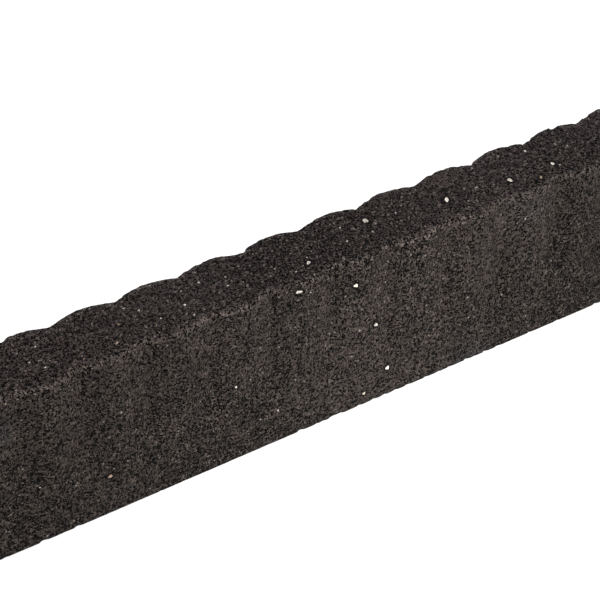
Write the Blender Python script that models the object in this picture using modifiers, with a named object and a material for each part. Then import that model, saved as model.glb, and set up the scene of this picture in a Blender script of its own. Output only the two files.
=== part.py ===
"""Scalloped crumb-rubber garden edging: one section with its ground spikes and joiner pegs.

Units are metres and +Z is up. X runs along the strip and the front face looks towards -Y. The
origin is the middle of the bottom face, on the ground line.

The strip is a single pressing. Its long sides are lobed at the top and the flutes between the lobes
fade out downwards into a flat base band. Four spikes stand in counterbored holes, started but not yet
driven, with their points level with the bottom face. Two pegs stand half out of the +X end, and the
-X end has the two sockets that take the pegs of the next section.
"""

import math

import bmesh
import bpy

# ---- driving dimensions, in metres -------------------------------------------------------------
GAP = 0.0003  # clearance between pieces that touch

LENGTH = 1.2192  # 48 in section
HEIGHT = 0.08255  # 3 1/4 in
WIDTH = 0.0305  # across the crests of the lobes
LOBES = 46  # along each side, whole lobes from end to end
ARC_RISE = 0.00374  # height of a lobe's circular arc over its chord
CUSP_SOFTNESS = 0.00097  # rounds the valley between two lobes
TOP_EDGE_RADIUS = 0.0013

FLUTE_FADE_START = 0.50 * HEIGHT  # full depth above this
FLUTE_FADE_END = 0.24 * HEIGHT  # flat base band below this

SPIKE_LENGTH = 0.1524  # 6 in, head included
SPIKE_RADIUS = 0.00397  # 5/16 in shank
SPIKE_POINT_LENGTH = 0.014
SPIKE_HEAD_RADIUS = 0.007
SPIKE_HEAD_THICKNESS = 0.0026
SPIKE_LOBES = (2, 15, 30, 43)  # the lobes that hold a spike, counted from the -X end
COUNTERBORE_RADIUS = 0.0085
COUNTERBORE_DEPTH = 0.0036

PEG_LENGTH = 0.044
PEG_RADIUS = 0.004
PEG_FLUTE_DEPTH = 0.0004
PEG_CHAMFER = 0.0008
PEG_HEIGHTS = {"lower": 0.022, "upper": 0.060}
SOCKET_DEPTH = PEG_LENGTH / 2 + GAP

SEGMENTS_PER_LOBE = 6
FADE_STEPS = 3
EDGE_STEPS = 2
ROUND_STEPS = 24
PEG_FLUTES = 10
COLUMNS_PER_FLUTE = 4
MERGE = 0.00001

PITCH = LENGTH / LOBES
CREST = math.hypot(ARC_RISE, CUSP_SOFTNESS)


# ---- helpers -----------------------------------------------------------------------------------
def clear_scene():
    for obj in list(bpy.data.objects):
        bpy.data.objects.remove(obj, do_unlink=True)


def new_collection(name):
    collection = bpy.data.collections.new(name)
    bpy.context.scene.collection.children.link(collection)
    return collection


def new_material(name, colour, roughness, metallic=0.0):
    material = bpy.data.materials.new(name)
    material.use_nodes = True
    shader = material.node_tree.nodes["Principled BSDF"]
    shader.inputs["Base Color"].default_value = (*colour, 1.0)
    shader.inputs["Roughness"].default_value = roughness
    shader.inputs["Metallic"].default_value = metallic
    return material


def add_object(name, mesh, collection):
    obj = bpy.data.objects.new(name, mesh)
    collection.objects.link(obj)
    return obj


def mesh_from(bm, name):
    mesh = bpy.data.meshes.new(name)
    bm.to_mesh(mesh)
    bm.free()
    return mesh


def make_cutter(obj):
    obj.hide_render = True
    obj.display_type = "WIRE"


def boolean(obj, operation, cutter=None, cutters=None):
    """Cut or intersect with one object, or with every object of a collection."""
    modifier = obj.modifiers.new("cut", "BOOLEAN")
    modifier.operation = operation
    modifier.solver = "EXACT"
    if cutters:
        modifier.operand_type = "COLLECTION"
        modifier.collection = cutters
    else:
        modifier.object = cutter


def turned(name, profile, collection):
    """A solid of revolution about Z from (radius, height) points that run from top to bottom."""
    bm = bmesh.new()
    points = [bm.verts.new((radius, 0.0, height)) for radius, height in profile]
    for upper, lower in zip(points, points[1:]):
        bm.edges.new((upper, lower))
    obj = add_object(name, mesh_from(bm, name), collection)
    screw = obj.modifiers.new("turn", "SCREW")
    screw.axis = "Z"
    screw.angle = 2 * math.pi
    screw.screw_offset = 0.0
    screw.steps = ROUND_STEPS
    screw.render_steps = ROUND_STEPS
    screw.use_merge_vertices = True
    screw.merge_threshold = MERGE
    screw.use_smooth_shade = True
    return obj


# ---- edging strip ------------------------------------------------------------------------------
def flute_depth(x):
    """How far the lobed outline lies inside the crest line, at full depth."""
    along = (x + LENGTH / 2) / PITCH
    from_crest = (along - math.floor(along) - 0.5) * PITCH
    radius = ((PITCH / 2) ** 2 + ARC_RISE**2) / (2 * ARC_RISE)
    arc = math.sqrt(radius**2 - from_crest**2) - (radius - ARC_RISE)
    return CREST - math.hypot(arc, CUSP_SOFTNESS)


def flute_fade(z):
    """1 where the flutes have their full depth, 0 in the flat base band, smooth between."""
    t = (z - FLUTE_FADE_END) / (FLUTE_FADE_START - FLUTE_FADE_END)
    t = min(max(t, 0.0), 1.0)
    return t * t * (3 - 2 * t)


def strip_levels():
    """(height, inset) of each outline, from the bottom face to the top face."""
    levels = [(0.0, 0.0), (FLUTE_FADE_END, 0.0)]
    fade_span = FLUTE_FADE_START - FLUTE_FADE_END
    levels += [(FLUTE_FADE_END + fade_span * i / FADE_STEPS, 0.0) for i in range(1, FADE_STEPS + 1)]
    for i in range(EDGE_STEPS + 1):
        angle = math.pi / 2 * i / EDGE_STEPS
        height = HEIGHT - TOP_EDGE_RADIUS * (1 - math.sin(angle))
        levels.append((height, TOP_EDGE_RADIUS * (1 - math.cos(angle))))
    return levels


def strip_body():
    """A loft from the straight base outline to the lobed top outline.

    Each outline has a front row and a back row of points with the same X stations, so the bottom,
    the top and both ends close with plain quads between the rows.
    """
    count = LOBES * SEGMENTS_PER_LOBE
    stations = [-LENGTH / 2 + LENGTH * i / count for i in range(count + 1)]
    bm = bmesh.new()
    fronts, backs = [], []
    for height, inset in strip_levels():
        half = [WIDTH / 2 - inset - flute_fade(height) * flute_depth(x) for x in stations]
        fronts.append([bm.verts.new((x, -h, height)) for x, h in zip(stations, half)])
        backs.append([bm.verts.new((x, h, height)) for x, h in zip(stations, half)])
    for low in range(len(fronts) - 1):
        high = low + 1
        for i in range(count):
            j = i + 1
            bm.faces.new((fronts[low][i], fronts[low][j], fronts[high][j], fronts[high][i]))
            bm.faces.new((backs[low][j], backs[low][i], backs[high][i], backs[high][j]))
        bm.faces.new((backs[low][0], fronts[low][0], fronts[high][0], backs[high][0]))
        bm.faces.new((fronts[low][-1], backs[low][-1], backs[high][-1], fronts[high][-1]))
    for i in range(count):
        j = i + 1
        bm.faces.new((fronts[0][j], fronts[0][i], backs[0][i], backs[0][j]))
        bm.faces.new((fronts[-1][i], fronts[-1][j], backs[-1][j], backs[-1][i]))
    return mesh_from(bm, "edging_strip")


def spike_stations():
    return [-LENGTH / 2 + (lobe + 0.5) * PITCH for lobe in SPIKE_LOBES]


def spike_hole(name, x, cutters):
    """A through hole with a counterbore for the head."""
    beyond = 0.01
    shoulder = HEIGHT - COUNTERBORE_DEPTH
    profile = [
        (0.0, HEIGHT + beyond),
        (COUNTERBORE_RADIUS, HEIGHT + beyond),
        (COUNTERBORE_RADIUS, shoulder),
        (SPIKE_RADIUS + GAP, shoulder),
        (SPIKE_RADIUS + GAP, -beyond),
        (0.0, -beyond),
    ]
    hole = turned(name, profile, cutters)
    hole.location = (x, 0.0, 0.0)
    make_cutter(hole)


def peg_socket(name, end_x, inward, z, cutters):
    """A blind round socket in an end face. inward is +1 or -1, the way into the strip."""
    beyond = 0.01
    profile = [
        (0.0, SOCKET_DEPTH),
        (PEG_RADIUS + GAP, SOCKET_DEPTH),
        (PEG_RADIUS + GAP, -beyond),
        (0.0, -beyond),
    ]
    socket = turned(name, profile, cutters)
    socket.location = (end_x, 0.0, z)
    socket.rotation_euler = (0.0, inward * math.pi / 2, 0.0)
    make_cutter(socket)


def edging_strip(parts, cutters, material):
    strip = add_object("edging_strip", strip_body(), parts)
    strip.data.materials.append(material)
    for number, x in enumerate(spike_stations(), start=1):
        spike_hole(f"spike_hole_{number}", x, cutters)
    for level, z in PEG_HEIGHTS.items():
        peg_socket(f"socket_start_{level}", -LENGTH / 2, 1, z, cutters)
        peg_socket(f"socket_end_{level}", LENGTH / 2, -1, z, cutters)
    boolean(strip, "DIFFERENCE", cutters=cutters)


# ---- ground spikes -----------------------------------------------------------------------------
def ground_spike(name, x, parts, point_cutter, material):
    """A round shank with a flat head and a four-sided point, its tip just above the bottom face."""
    neck = SPIKE_LENGTH - SPIKE_HEAD_THICKNESS
    edge = 0.0005
    profile = [
        (0.0, SPIKE_LENGTH),
        (SPIKE_HEAD_RADIUS - edge, SPIKE_LENGTH),
        (SPIKE_HEAD_RADIUS, SPIKE_LENGTH - edge),
        (SPIKE_HEAD_RADIUS, neck),
        (SPIKE_RADIUS, neck),
        (SPIKE_RADIUS, 0.0),
        (0.0, 0.0),
    ]
    spike = turned(name, profile, parts)
    spike.location = (x, 0.0, GAP)
    spike.data.materials.append(material)
    boolean(spike, "INTERSECT", cutter=point_cutter)


def spike_point_cutter(name, x, cutters):
    """An upside-down four-sided pyramid that leaves the point and clears the shank and the head."""
    tall = SPIKE_LENGTH + 0.02
    slope = SPIKE_RADIUS / SPIKE_POINT_LENGTH
    bm = bmesh.new()
    bmesh.ops.create_cone(
        bm,
        cap_ends=True,
        segments=4,
        radius1=0.0,
        radius2=math.sqrt(2) * slope * tall,
        depth=tall,
    )
    pyramid = add_object(name, mesh_from(bm, name), cutters)
    pyramid.location = (x, 0.0, GAP + tall / 2)
    make_cutter(pyramid)
    return pyramid


# ---- joiner pegs -------------------------------------------------------------------------------
def joiner_peg(name, z, parts, material):
    """A fluted dowel with chamfered ends, half its length in the +X end of the strip."""
    columns = PEG_FLUTES * COLUMNS_PER_FLUTE
    bm = bmesh.new()
    bmesh.ops.create_cone(
        bm,
        cap_ends=True,
        segments=columns,
        radius1=PEG_RADIUS,
        radius2=PEG_RADIUS,
        depth=PEG_LENGTH,
    )
    for vert in bm.verts:
        column = round(math.atan2(vert.co.y, vert.co.x) / (2 * math.pi) * columns)
        if column % COLUMNS_PER_FLUTE == 0:
            shrink = (PEG_RADIUS - PEG_FLUTE_DEPTH) / PEG_RADIUS
            vert.co.x *= shrink
            vert.co.y *= shrink
    peg = add_object(name, mesh_from(bm, name), parts)
    peg.location = (LENGTH / 2, 0.0, z)
    peg.rotation_euler = (0.0, math.pi / 2, 0.0)
    chamfer = peg.modifiers.new("chamfer", "BEVEL")
    chamfer.width = PEG_CHAMFER
    chamfer.segments = 1
    chamfer.limit_method = "ANGLE"
    chamfer.angle_limit = math.radians(60)
    peg.data.materials.append(material)


# ---- assembly ----------------------------------------------------------------------------------
def main():
    clear_scene()
    parts = new_collection("garden_edging")
    strip_cutters = new_collection("strip_cutters")
    spike_cutters = new_collection("spike_cutters")
    rubber = new_material("crumb_rubber", (0.042, 0.036, 0.034), 0.85)
    steel = new_material("galvanised_steel", (0.27, 0.275, 0.28), 0.42, metallic=1.0)
    plastic = new_material("peg_plastic", (0.038, 0.039, 0.041), 0.45)

    edging_strip(parts, strip_cutters, rubber)
    for number, x in enumerate(spike_stations(), start=1):
        point = spike_point_cutter(f"spike_point_{number}", x, spike_cutters)
        ground_spike(f"ground_spike_{number}", x, parts, point, steel)
    for level, z in PEG_HEIGHTS.items():
        joiner_peg(f"joiner_peg_{level}", z, parts, plastic)


main()
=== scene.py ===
"""Looks of the scalloped crumb-rubber garden edging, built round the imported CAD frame."""

import math
import random

import bmesh
import bpy
import numpy as np
from mathutils import Matrix, Vector, noise
from mathutils.bvhtree import BVHTree


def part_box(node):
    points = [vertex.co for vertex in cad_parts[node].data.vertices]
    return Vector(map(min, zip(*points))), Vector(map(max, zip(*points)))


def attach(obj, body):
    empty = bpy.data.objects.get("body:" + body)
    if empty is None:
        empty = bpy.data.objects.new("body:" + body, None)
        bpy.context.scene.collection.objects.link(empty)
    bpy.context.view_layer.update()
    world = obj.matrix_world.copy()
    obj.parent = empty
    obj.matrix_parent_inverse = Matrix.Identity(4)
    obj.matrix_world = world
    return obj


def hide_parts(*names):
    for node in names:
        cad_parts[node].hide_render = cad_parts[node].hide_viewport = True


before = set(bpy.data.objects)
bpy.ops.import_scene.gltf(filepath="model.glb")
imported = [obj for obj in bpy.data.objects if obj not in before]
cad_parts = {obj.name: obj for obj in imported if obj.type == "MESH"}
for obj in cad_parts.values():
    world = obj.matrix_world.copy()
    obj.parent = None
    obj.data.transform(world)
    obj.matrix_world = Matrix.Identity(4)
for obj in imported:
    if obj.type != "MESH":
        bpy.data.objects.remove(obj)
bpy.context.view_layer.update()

# ---- sizes, in metres --------------------------------------------------------------------------
STRIP_LOW, STRIP_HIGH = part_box("edging_strip")
LENGTH, WIDTH, HEIGHT = STRIP_HIGH - STRIP_LOW
LOBES = 46
PITCH = LENGTH / LOBES
ARC_RISE = 0.00374
CUSP_SOFTNESS = 0.00097
CREST = math.hypot(ARC_RISE, CUSP_SOFTNESS)
TOP_EDGE_RADIUS = 0.0013
BASE_EDGE_RADIUS = 0.0004
FLUTE_FADE_START = 0.50 * HEIGHT  # full depth above
FLUTE_FADE_END = 0.24 * HEIGHT    # flat base band below

SPIKES = [f"ground_spike_{n}" for n in range(1, 5)]
PEGS = ["joiner_peg_lower", "joiner_peg_upper"]
GAP = 0.0003
COUNTERBORE_RADIUS = 0.0085
COUNTERBORE_DEPTH = 0.0036

GRID = 0.00105          # spacing of the strip's surface mesh
COARSE_GRANULE = 2.3    # mm, the granules that show in the mesh
GRANULE = 1.2           # mm, the granules that show in the material
SEED = 7
BLOOM_SEED = 20.5       # sideways steps into the slow noise, so that the two fields differ
LOOSE_SEED = 40.5

PALE_GRANULES = 450
SMALL_SHARE = 0.80
SMALL_SIZES = 0.7, 1.4  # mm
BIG_SIZES = 1.8, 3.0    # mm
BIG = 0.0015            # metres, the size over which a granule is paler and has painted shade round it
BLOOM_PATCH = 0.046     # metres, the size of the bluish patches
LOOSE_PATCH = 0.070     # metres, the size of the loosely pressed patches

RELIEF_WAVE = 14.0      # mm, sizes of the unevenness in the mesh
RELIEF_ROUGH = 2.6
BITE = 3.2              # mm, the size of the gaps left along an edge by missing granules
BITE_DEPTH = 0.0009
TURNED_SIDES = 48
BEYOND = 0.01           # how far a cutter stands out of the strip
STUDIO_FLOOR = 12.0


# ---- small helpers -----------------------------------------------------------------------------
def link(obj):
    bpy.context.scene.collection.objects.link(obj)
    return obj


def smoothstep(low, high, value):
    t = np.clip((value - low) / (high - low), 0.0, 1.0)
    return t * t * (3 - 2 * t)


def mesh_object(name, points, faces):
    mesh = bpy.data.meshes.new(name)
    mesh.from_pydata(points, [], faces)
    mesh.update()
    return link(bpy.data.objects.new(name, mesh))


def vertex_array(mesh):
    flat = np.empty(len(mesh.vertices) * 3)
    mesh.vertices.foreach_get("co", flat)
    return flat.reshape(-1, 3)


def set_vertices(mesh, points):
    mesh.vertices.foreach_set("co", np.asarray(points, dtype=np.float32).ravel())
    mesh.update()


def add_attribute(mesh, name, values):
    attribute = mesh.attributes.new(name, "FLOAT", "POINT")
    attribute.data.foreach_set("value", np.asarray(values, dtype=np.float32))


# ---- shader helpers ----------------------------------------------------------------------------
class Shader:
    """A material's node tree with short calls for the few kinds of node used here."""

    def __init__(self, name):
        self.material = bpy.data.materials.new(name)
        self.material.use_nodes = True
        self.tree = self.material.node_tree
        self.surface = self.tree.nodes["Principled BSDF"]

    def node(self, kind, **settings):
        made = self.tree.nodes.new(kind)
        for key, value in settings.items():
            setattr(made, key, value)
        return made

    def put(self, socket, value):
        if isinstance(value, bpy.types.NodeSocket):
            self.tree.links.new(value, socket)
        elif value is not None:
            socket.default_value = value

    def position(self):
        """Object coordinates in millimetres."""
        coordinates = self.node("ShaderNodeTexCoord")
        scaled = self.node("ShaderNodeVectorMath", operation="SCALE")
        self.put(scaled.inputs[0], coordinates.outputs["Object"])
        scaled.inputs["Scale"].default_value = 1000.0
        return scaled.outputs[0]

    def math(self, operation, a, b=None):
        made = self.node("ShaderNodeMath", operation=operation)
        self.put(made.inputs[0], a)
        self.put(made.inputs[1], b)
        return made.outputs[0]

    def product(self, *factors):
        result = factors[0]
        for factor in factors[1:]:
            result = self.math("MULTIPLY", result, factor)
        return result

    def span(self, value, low, high, to_low=0.0, to_high=1.0):
        made = self.node("ShaderNodeMapRange", interpolation_type="SMOOTHSTEP")
        self.put(made.inputs["Value"], value)
        self.put(made.inputs["From Min"], low)
        self.put(made.inputs["From Max"], high)
        self.put(made.inputs["To Min"], to_low)
        self.put(made.inputs["To Max"], to_high)
        return made.outputs[0]

    def noise(self, vector, size, detail=2.0, output="Fac"):
        made = self.node("ShaderNodeTexNoise")
        self.put(made.inputs["Vector"], vector)
        made.inputs["Scale"].default_value = 1.0 / size
        made.inputs["Detail"].default_value = detail
        return made.outputs[output]

    def cells(self, vector, size, feature="F1", output="Distance"):
        made = self.node("ShaderNodeTexVoronoi", feature=feature)
        self.put(made.inputs["Vector"], vector)
        made.inputs["Scale"].default_value = 1.0 / size
        return made.outputs[output]

    def cell_random(self, vector, size):
        """Three random numbers for each cell."""
        split = self.node("ShaderNodeSeparateColor")
        self.put(split.inputs[0], self.cells(vector, size, output="Color"))
        return split.outputs

    def bent(self, vector, size, amount):
        """The coordinates pushed about by noise, so that cells aren't straight-sided."""
        push = self.noise(vector, size, detail=1.0, output="Color")
        centred = self.node("ShaderNodeVectorMath", operation="SUBTRACT")
        self.put(centred.inputs[0], push)
        centred.inputs[1].default_value = (0.5, 0.5, 0.5)
        scaled = self.node("ShaderNodeVectorMath", operation="SCALE")
        self.put(scaled.inputs[0], centred.outputs[0])
        scaled.inputs["Scale"].default_value = amount
        moved = self.node("ShaderNodeVectorMath", operation="ADD")
        self.put(moved.inputs[0], vector)
        self.put(moved.inputs[1], scaled.outputs[0])
        return moved.outputs[0]

    def mix(self, factor, a, b):
        made = self.node("ShaderNodeMix", data_type="RGBA")
        self.put(made.inputs["Factor"], factor)
        self.put(made.inputs[6], (*a, 1.0) if isinstance(a, tuple) else a)
        self.put(made.inputs[7], (*b, 1.0) if isinstance(b, tuple) else b)
        return made.outputs[2]

    def scaled(self, colour, factor):
        made = self.node("ShaderNodeVectorMath", operation="SCALE")
        self.put(made.inputs[0], colour)
        self.put(made.inputs["Scale"], factor)
        return made.outputs[0]

    def attribute(self, name):
        return self.node("ShaderNodeAttribute", attribute_name=name).outputs["Fac"]

    def bump(self, height, depth):
        """depth in metres for a height of 1."""
        made = self.node("ShaderNodeBump")
        self.put(made.inputs["Height"], height)
        made.inputs["Distance"].default_value = depth
        self.put(self.surface.inputs["Normal"], made.outputs[0])


# ---- materials ---------------------------------------------------------------------------------
def crumb_rubber():
    """Black granules pressed into a skin on the sides, and left more open on the top face."""
    s = Shader("crumb_rubber")
    place = s.position()
    top, crease_wear_and_highlight, rim_shade = (s.attribute(name) for name in ("top_face", "crease_wear_and_highlight", "chip_shadow_rim"))
    bloom, loose = s.attribute("bloom"), s.attribute("loose")
    wavy = s.bent(place, size=1.2, amount=0.8)

    # pits stand where granules don't meet, wider and closer together where the skin is loose; their
    # colour is painted near black as the shade inside them
    edge = s.cells(wavy, GRANULE, feature="DISTANCE_TO_EDGE")
    tone, hue_pick, _ = s.cell_random(wavy, GRANULE)[:3]
    gate = s.math("ADD", s.noise(place, 1.5, detail=1.0), s.product(loose, 0.04))
    reach = s.span(gate, 0.44, 0.64, 0.02, 0.24)
    crevice = s.span(edge, 0.0, reach, 1.0, 0.0)
    hollow = s.math("SUBTRACT", s.noise(wavy, 0.78, detail=0.0), s.product(loose, 0.032))
    shaded_pits = s.product(
        s.math("MAXIMUM", crevice, s.span(hollow, 0.412, 0.376)),
        s.span(bloom, 0.0, 1.0, 1.0, 0.6),
    )

    # each granule has its own grey, over slow changes along the strip
    drift = s.noise(place, 11.0, detail=2.0)
    warm = s.mix(s.span(hue_pick, 0.0, 1.0), (0.0390, 0.0320, 0.0277), (0.0378, 0.0310, 0.0277))
    stained = s.mix(s.span(drift, 0.56, 0.74, 0.0, 0.6), warm, (0.0373, 0.0288, 0.0272))
    bloomed = s.mix(s.product(bloom, 0.8), stained, (0.0330, 0.0335, 0.0358))
    tint = s.mix(s.span(top, 0.0, 1.0, 0.0, 0.8), bloomed, (0.0405, 0.0322, 0.0312))
    few = s.product(tone, tone, tone)
    darkest = s.span(top, 0.0, 1.0, s.span(loose, 0.0, 1.0, 0.92, 0.86), 0.80)
    lightest = s.span(top, 0.0, 1.0, s.span(loose, 0.0, 1.0, 1.66, 1.95), 1.80)
    grey = s.product(
        s.span(few, 0.0, 1.0, darkest, lightest),
        # painted highlight: a lighter ring round each hollow, for the lit rims of the granules next to
        # the pits
        s.span(hollow, 0.39, 0.47, 1.14, 1.0),
        s.span(drift, 0.3, 0.7, 0.90, 1.10),
        # painted shade: the pits darkened almost to black, as the gaps between granules would be
        # shaded
        s.span(shaded_pits, 0.0, 0.9, 1.0, 0.02),
        s.span(top, 0.0, 1.0, 1.0, 1.10),
        s.span(bloom, 0.0, 1.0, 1.0, 1.1),
        # lighter along the top edge: edge wear, and a painted highlight where the edge catches the
        # light
        s.span(crease_wear_and_highlight, 0.0, 1.0, 1.0, 1.55),
        # painted shade: the strip darkened in the crevice round each big pale granule
        s.span(rim_shade, 0.0, 1.0, 1.0, 0.25),
    )
    shade = s.scaled(tint, grey)

    # small light grains, more of them on the top face, and more along its edges as painted glints
    grain_pick = s.cell_random(wavy, 1.0)[0]
    seldom = s.math("SUBTRACT", s.span(top, 0.0, 1.0, 0.982, 0.960), s.product(crease_wear_and_highlight, 0.03))
    chosen = s.math("GREATER_THAN", grain_pick, seldom)
    spot = s.span(s.cells(wavy, 1.0), 0.60, 0.25)
    grain = s.product(chosen, spot, s.span(tone, 0.0, 1.0, 0.25, 1.0))
    s.put(s.surface.inputs["Base Color"], s.mix(grain, shade, (0.17, 0.155, 0.14)))

    s.put(s.surface.inputs["Roughness"], s.span(tone, 0.0, 1.0, 0.58, 0.85))
    s.surface.inputs["Specular IOR Level"].default_value = 0.03

    dome = s.product(s.span(edge, 0.0, 0.5), s.span(top, 0.0, 1.0, 0.45, 0.8))
    tilt = s.product(tone, s.span(top, 0.0, 1.0, 0.25, 0.5))
    fine = s.product(s.noise(place, 0.8, detail=1.0), 0.35)
    raised = s.math("ADD", s.math("ADD", dome, tilt), fine)
    s.bump(s.math("SUBTRACT", raised, s.product(shaded_pits, 0.8)), 0.0008)
    return s.material


def pale_rubber():
    """Cream, white and tan granules. The attribute tint says which."""
    s = Shader("pale_rubber")
    place = s.position()
    pale = s.mix(s.span(s.attribute("tint"), 0.1, 0.7), (0.34, 0.22, 0.14), (0.66, 0.62, 0.55))
    stain = s.span(s.noise(place, 0.8, detail=3.0), 0.45, 0.70, 0.0, 0.85)
    stained = s.scaled(s.mix(stain, pale, (0.20, 0.17, 0.14)), s.attribute("lightness"))
    s.put(s.surface.inputs["Base Color"], stained)
    s.put(s.surface.inputs["Roughness"], s.span(s.noise(place, 0.5), 0.3, 0.7, 0.45, 0.8))
    s.bump(s.noise(place, 0.4, detail=3.0), 0.0002)
    return s.material


def galvanised_steel():
    s = Shader("galvanised_steel")
    place = s.position()
    spangle = s.cell_random(s.bent(place, 2.0, 1.2), 3.2)[0]
    streak = s.noise(place, 9.0, detail=4.0)
    base = s.mix(s.span(spangle, 0.0, 1.0), (0.21, 0.215, 0.22), (0.34, 0.345, 0.35))
    dull = s.mix(s.span(streak, 0.52, 0.72, 0.0, 0.55), base, (0.16, 0.16, 0.155))
    s.put(s.surface.inputs["Base Color"], dull)
    s.surface.inputs["Metallic"].default_value = 1.0
    s.put(s.surface.inputs["Roughness"], s.span(spangle, 0.0, 1.0, 0.34, 0.56))
    s.bump(s.math("ADD", s.noise(place, 0.8, detail=3.0), s.product(spangle, 0.2)), 0.00012)
    return s.material


def peg_plastic():
    s = Shader("peg_plastic")
    place = s.position()
    cloud = s.noise(place, 6.0, detail=3.0)
    s.put(s.surface.inputs["Base Color"], s.mix(cloud, (0.030, 0.031, 0.033), (0.046, 0.047, 0.049)))
    s.put(s.surface.inputs["Roughness"], s.span(s.noise(place, 1.5, detail=4.0), 0.3, 0.7, 0.34, 0.52))
    s.bump(s.noise(place, 0.25, detail=2.0), 0.00004)
    return s.material


# ---- the rubber strip --------------------------------------------------------------------------
def cuboid_grid(counts):
    """Whole-number lattice points on the surface of a box, and the quads that join them."""
    quads = []
    for axis in range(3):
        across, up = (axis + 1) % 3, (axis + 2) % 3
        a, b = np.meshgrid(np.arange(counts[across] + 1), np.arange(counts[up] + 1), indexing="ij")
        for side in (0, 1):
            lattice = np.zeros((*a.shape, 3), dtype=np.int64)
            lattice[..., across], lattice[..., up], lattice[..., axis] = a, b, side * counts[axis]
            corners = lattice[:-1, :-1], lattice[1:, :-1], lattice[1:, 1:], lattice[:-1, 1:]
            if side == 0:
                corners = corners[::-1]
            quads.append(np.stack([c.reshape(-1, 3) for c in corners], axis=1))
    quads = np.concatenate(quads)
    stride = np.array([(counts[1] + 1) * (counts[2] + 1), counts[2] + 1, 1])
    keys, faces = np.unique(quads @ stride, return_inverse=True)
    points = np.stack([keys // stride[0], keys % stride[0] // stride[1], keys % stride[1]], axis=1)
    return points, faces.reshape(-1, 4)


def flute_depth(x):
    """How far the lobed outline lies inside the crest line."""
    along = (x - STRIP_LOW.x) / PITCH
    from_crest = (along - np.floor(along) - 0.5) * PITCH
    radius = ((PITCH / 2) ** 2 + ARC_RISE**2) / (2 * ARC_RISE)
    arc = np.sqrt(radius**2 - from_crest**2) - (radius - ARC_RISE)
    return CREST - np.hypot(arc, CUSP_SOFTNESS)


def half_width(x, z):
    return WIDTH / 2 - smoothstep(FLUTE_FADE_END, FLUTE_FADE_START, z) * flute_depth(x)


def strip_points(lattice, counts):
    """The moulded surface: a box with rounded edges, pulled in to the lobed outline."""
    half = np.array([LENGTH, WIDTH, HEIGHT]) / 2
    points = (lattice / np.array(counts) * 2 - 1) * half
    radius = np.where(points[:, 2:] > 0, TOP_EDGE_RADIUS, BASE_EDGE_RADIUS)
    core = np.clip(points, -(half - radius), half - radius)
    out = points - core
    points = core + out / np.maximum(np.linalg.norm(out, axis=1, keepdims=True), 1e-9) * radius
    points[:, 2] += HEIGHT / 2
    points[:, 1] *= half_width(points[:, 0], points[:, 2]) / (WIDTH / 2)
    return points


def relief(points, normals):
    """How far the granules stand in or out of the moulded surface, in metres."""
    moved = np.empty(len(points))
    for i, (p, n) in enumerate(zip(points, normals)):
        place = Vector(p) * 1000.0
        near = noise.voronoi(place / COARSE_GRANULE)[0]
        gap = min(near[1] - near[0], 0.5)
        wave = noise.noise(place / RELIEF_WAVE)
        rough = noise.noise(place / RELIEF_ROUGH)
        loose = max(n[2], 0.0)
        sunk = (0.18 + 0.34 * loose) * (0.25 - gap)
        moved[i] = 0.06 + 0.10 * wave + (0.09 + 0.14 * loose) * rough - sunk
    return moved / 1000.0


def slow_noise(points, size, seed):
    """Smooth noise at each point, about -0.7 to 0.7, with patches of this size in metres."""
    places = points / size + np.array([0, seed, 0])
    return np.array([noise.noise(Vector(place)) for place in places])


def bloom(points):
    """1 where the skin has a smooth bluish-grey bloom."""
    return smoothstep(0.18, 0.68, slow_noise(points, BLOOM_PATCH, BLOOM_SEED))


def looseness(points):
    """1 where the granules are pressed together least, mostly low on the sides."""
    low = 1 - smoothstep(0.40, 0.75, points[:, 2] / HEIGHT)
    return np.clip(0.3 + 0.5 * low + 1.4 * slow_noise(points, LOOSE_PATCH, LOOSE_SEED), 0, 1)


def edge_closeness(points, level, reach):
    """1 on the long edges at this level, falling to 0 over reach."""
    half = half_width(points[:, 0], points[:, 2])
    from_side = np.maximum(half - np.abs(points[:, 1]), 0)
    return np.exp(-((np.hypot(points[:, 2] - level, from_side) / reach) ** 2))


def edge_bites(points):
    """Metres lost where a granule is missing from a long edge."""
    near_top = edge_closeness(points, HEIGHT, 0.0020)
    near_edge = np.maximum(near_top, edge_closeness(points, 0.0, 0.0016))
    bites = np.zeros(len(points))
    for i in np.flatnonzero(near_edge > 0.2):
        wave = noise.noise(Vector(points[i]) * 1000.0 / BITE)
        bites[i] = smoothstep(0.15, 0.55, wave) * near_edge[i]
    return bites * BITE_DEPTH


def shank_radius(name):
    low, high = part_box(name)
    points = vertex_array(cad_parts[name].data)
    inside = points[points[:, 2] < HEIGHT]
    return float(np.hypot(inside[:, 0] - (low.x + high.x) / 2, inside[:, 1]).max())


def add_turned(bm, centre, direction, steps):
    """Adds a closed turned solid from (radius, distance) steps along direction."""
    turn = Vector(direction).to_track_quat("Z", "Y").to_matrix().to_4x4()
    place = Matrix.Translation(centre) @ turn
    turns = [2 * math.pi * k / TURNED_SIDES for k in range(TURNED_SIDES)]
    rings = []
    for radius, along in steps:
        ring = [place @ Vector((radius * math.cos(t), radius * math.sin(t), along)) for t in turns]
        rings.append([bm.verts.new(point) for point in ring])
    for low, high in zip(rings, rings[1:]):
        for k in range(TURNED_SIDES):
            n = (k + 1) % TURNED_SIDES
            bm.faces.new((low[k], low[n], high[n], high[k]))
    bm.faces.new(rings[0][::-1])
    bm.faces.new(rings[-1])


def add_spike_hole(bm, name):
    low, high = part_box(name)
    shoulder = HEIGHT - COUNTERBORE_DEPTH
    shank = shank_radius(name) + GAP
    steps = [(shank, -BEYOND), (shank, shoulder),
             (COUNTERBORE_RADIUS, shoulder + 0.0001), (COUNTERBORE_RADIUS, HEIGHT + BEYOND)]
    add_turned(bm, ((low.x + high.x) / 2, 0, 0), (0, 0, 1), steps)


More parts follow.
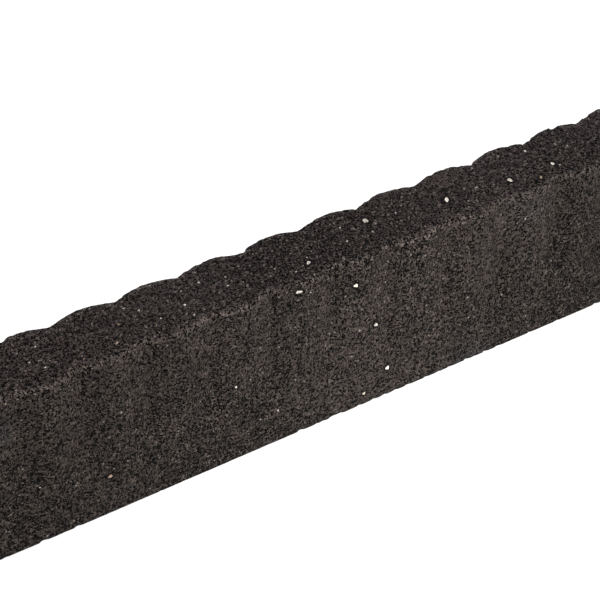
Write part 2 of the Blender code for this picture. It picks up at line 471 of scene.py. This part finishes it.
def add_socket(bm, name, side):
    """The socket of this peg, or of its neighbour's at the strip's other end."""
    low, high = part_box(name)
    radius = (high.y - low.y) / 2 + GAP
    steps = [(radius, low.x - GAP - STRIP_HIGH.x), (radius, BEYOND)]
    add_turned(bm, (side * LENGTH / 2, 0, (low.z + high.z) / 2), (side, 0, 0), steps)


def bore(obj):
    """Cuts the spike holes and the peg sockets out of obj."""
    bm = bmesh.new()
    for name in SPIKES:
        add_spike_hole(bm, name)
    for name in PEGS:
        for side in (-1, 1):
            add_socket(bm, name, side)
    mesh = bpy.data.meshes.new("cutter")
    bm.to_mesh(mesh)
    bm.free()
    cutter = link(bpy.data.objects.new("cutter", mesh))
    modifier = obj.modifiers.new("bore", "BOOLEAN")
    modifier.operation = "DIFFERENCE"
    modifier.solver = "MANIFOLD"
    modifier.object = cutter
    graph = bpy.context.evaluated_depsgraph_get()
    bored = bpy.data.meshes.new_from_object(obj.evaluated_get(graph))
    obj.modifiers.clear()
    obj.data = bored
    bpy.data.objects.remove(cutter)


def rubber_strip(chips):
    counts = [round(size / GRID) for size in (LENGTH, WIDTH, HEIGHT)]
    lattice, faces = cuboid_grid(counts)
    strip = mesh_object("rubber_strip", strip_points(lattice, counts).tolist(), faces.tolist())
    points = vertex_array(strip.data)
    normals = np.empty(len(points) * 3)
    strip.data.vertex_normals.foreach_get("vector", normals)
    normals = normals.reshape(-1, 3)
    moved = points + (relief(points, normals) - edge_bites(points))[:, None] * normals
    moved[:, 2] = np.where(lattice[:, 2] == 0, 0.0, np.maximum(moved[:, 2], 0.0))
    set_vertices(strip.data, moved)
    bore(strip)

    mesh = strip.data
    mesh.name = "rubber_strip"
    points = vertex_array(mesh)
    half = half_width(points[:, 0], points[:, 2])
    top = smoothstep(HEIGHT - 0.0016, HEIGHT - 0.0004, points[:, 2])
    top *= smoothstep(0.0, 0.0022, half - np.abs(points[:, 1]))
    add_attribute(mesh, "top_face", top)
    # mask of the top edge, where the colour is lighter: edge wear with a painted highlight and glints
    add_attribute(mesh, "crease_wear_and_highlight", edge_closeness(points, HEIGHT, 0.0024))
    add_attribute(mesh, "chip_shadow_rim", chip_shadow_rim(points, chips))
    add_attribute(mesh, "bloom", bloom(points))
    add_attribute(mesh, "loose", looseness(points))
    mesh.shade_smooth()
    mesh.set_sharp_from_angle(angle=math.radians(70))
    mesh.materials.clear()
    mesh.materials.append(crumb_rubber())
    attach(strip, "strip")
    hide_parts("edging_strip")
    return strip


# ---- pale granules -----------------------------------------------------------------------------
def side_chip(lobes, up, size, tint, side):
    x, z = STRIP_LOW.x + lobes * PITCH, up / 1000
    slope = (half_width(x + 0.001, z) - half_width(x - 0.001, z)) / 0.002
    normal = Vector((-slope, side, 0)).normalized()
    return Vector((x, side * half_width(x, z), z)), normal, size / 1000, tint


def top_chip(lobes, across, size, tint):
    place = Vector((STRIP_LOW.x + lobes * PITCH, across / 1000, HEIGHT))
    return place, Vector((0, 0, 1)), size / 1000, tint


def scattered_chips(rng):
    """Granules over the top and both sides, mostly small ones."""
    clear = COUNTERBORE_RADIUS + 0.002
    holes = [(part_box(name)[0].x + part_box(name)[1].x) / 2 for name in SPIKES]
    made = []
    while len(made) < PALE_GRANULES:
        lobes = rng.uniform(0.3, LOBES - 0.3)
        size = rng.uniform(*(SMALL_SIZES if rng.random() < SMALL_SHARE else BIG_SIZES))
        tint = rng.choice((0.15, 0.5, 0.7, 0.8, 1.0, 1.0))
        kind = rng.random()
        if kind < 0.5:
            chip = top_chip(lobes, rng.uniform(-10.5, 10.5), size, tint)
            if any(math.hypot(chip[0].x - x, chip[0].y) < clear for x in holes):
                continue
        else:
            chip = side_chip(lobes, rng.uniform(3, 80), size, tint, -1 if kind < 0.75 else 1)
        made.append(chip)
    return made


def chip_shadow_rim(points, chips):
    """1 under and close round each big granule, where the strip's colour is darkened as painted shade
    in the crevice round it.
    """
    rim_shade = np.zeros(len(points))
    for place, _, size, _ in chips:
        if size > BIG:
            away = np.linalg.norm(points - np.array(place), axis=1)
            rim_shade = np.maximum(rim_shade, smoothstep(size * 0.5 + 0.0016, size * 0.5, away))
    return rim_shade


def seated(chips, strip):
    """The granules moved along their normals to lie on the strip's rough surface."""
    tree = BVHTree.FromObject(strip, bpy.context.evaluated_depsgraph_get())
    reach = 0.003
    made = []
    for place, normal, size, tint in chips:
        hit = tree.ray_cast(place + normal * reach, -normal, 2 * reach)[0]
        if hit:
            made.append((hit, normal, size, tint))
    return made


def chip_solid(bm, place, turn, size, rng):
    """An irregular flat-sided solid: the hull of a few points on a flattened ball."""
    long, wide, thick = rng.uniform(0.85, 1.0), rng.uniform(0.50, 0.85), rng.uniform(0.30, 0.45)
    stretch = Vector((long, wide, thick)) * size / 2
    corners = []
    for k in range(9):
        turned, level = math.tau * (k + rng.uniform(0, 0.8)) / 9, rng.uniform(-0.9, 0.9)
        across = math.sqrt(1 - level**2)
        local = Vector((across * math.cos(turned), across * math.sin(turned), level)) * stretch
        corners.append(bm.verts.new(place + turn @ local))
    hull = bmesh.ops.convex_hull(bm, input=corners)
    left_over = hull["geom_interior"] + hull["geom_unused"]
    spare = {v for v in left_over if isinstance(v, bmesh.types.BMVert)}
    bmesh.ops.delete(bm, geom=list(spare), context="VERTS")
    return len(corners) - len(spare)


def pale_granules(chips, rng):
    """Small flat-sided solids, each sunk about halfway into the strip's surface."""
    bm = bmesh.new()
    tints, lightness = [], []
    for place, normal, size, tint in chips:
        spin = Matrix.Rotation(rng.uniform(0, math.tau), 3, "Z")
        turn = normal.to_track_quat("Z", "Y").to_matrix() @ spin
        count = chip_solid(bm, place, turn, size * 1.15, rng)
        tints += [tint] * count
        lightness += [rng.uniform(0.55, 1.0) if size > BIG else rng.uniform(0.15, 0.75)] * count
    mesh = bpy.data.meshes.new("pale_granules")
    bm.to_mesh(mesh)
    bm.free()
    add_attribute(mesh, "tint", tints)
    add_attribute(mesh, "lightness", lightness)
    mesh.materials.append(pale_rubber())
    piece = link(bpy.data.objects.new("pale_granules", mesh))
    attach(piece, "strip")


# ---- carried-over parts ------------------------------------------------------------------------
def dress(names, material):
    for name in names:
        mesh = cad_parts[name].data
        mesh.materials.clear()
        mesh.materials.append(material)


# ---- studio ------------------------------------------------------------------------------------
def aim(obj, target, azimuth, elevation, distance):
    """Places obj round target, looking at it. Azimuth 0 looks along +Y."""
    a, e = math.radians(azimuth), math.radians(elevation)
    back = Vector((math.sin(a) * math.cos(e), -math.cos(a) * math.cos(e), math.sin(e)))
    obj.location = target + back * distance
    obj.rotation_mode = "QUATERNION"
    obj.rotation_quaternion = (-back).to_track_quat("-Z", "Y")


def lamp(kind, name, target, azimuth, elevation, distance, energy):
    data = bpy.data.lights.new(name, kind)
    data.energy = energy
    made = link(bpy.data.objects.new(name, data))
    made.visible_camera = False
    aim(made, target, azimuth, elevation, distance)
    return data


def studio():
    bpy.ops.mesh.primitive_plane_add(size=STUDIO_FLOOR, location=(0, 0, -0.0002))
    floor = bpy.context.object
    floor.name = "floor"
    s = Shader("studio_floor")
    s.surface.inputs["Base Color"].default_value = (0.88, 0.88, 0.88, 1.0)
    s.surface.inputs["Roughness"].default_value = 0.9
    floor.data.materials.append(s.material)

    world = bpy.data.worlds.new("studio")
    world.use_nodes = True
    background = world.node_tree.nodes["Background"].inputs
    background["Color"].default_value = (1, 1, 1, 1)
    background["Strength"].default_value = 1.2
    bpy.context.scene.world = world
    bpy.context.scene.view_settings.view_transform = "Standard"
    middle = Vector((0, 0, HEIGHT / 2))
    lamp("SUN", "key", middle, 52, 40, distance=3.0, energy=2.2).angle = math.radians(25)
    side = lamp("AREA", "side", middle + Vector((0.02, 0, 0)), 30, 12, distance=0.75, energy=0.215)
    side.shape = "DISK"
    side.size = 0.2
    side.spread = math.radians(24)


def camera():
    data = bpy.data.cameras.new("camera")
    data.sensor_width = 36.0
    data.lens = 114.9
    data.clip_start = 0.01
    made = link(bpy.data.objects.new("camera", data))
    target = Vector((-0.235 * PITCH, 0, 0.699 * HEIGHT))
    aim(made, target, azimuth=-29.83, elevation=44.56, distance=0.7516)
    bpy.context.scene.camera = made


# ---- assembly ----------------------------------------------------------------------------------
def main():
    rng = random.Random(SEED)
    camera()
    studio()
    chips = scattered_chips(rng)
    strip = rubber_strip(chips)
    pale_granules(seated(chips, strip), rng)
    dress(SPIKES, galvanised_steel())
    dress(PEGS, peg_plastic())


main()
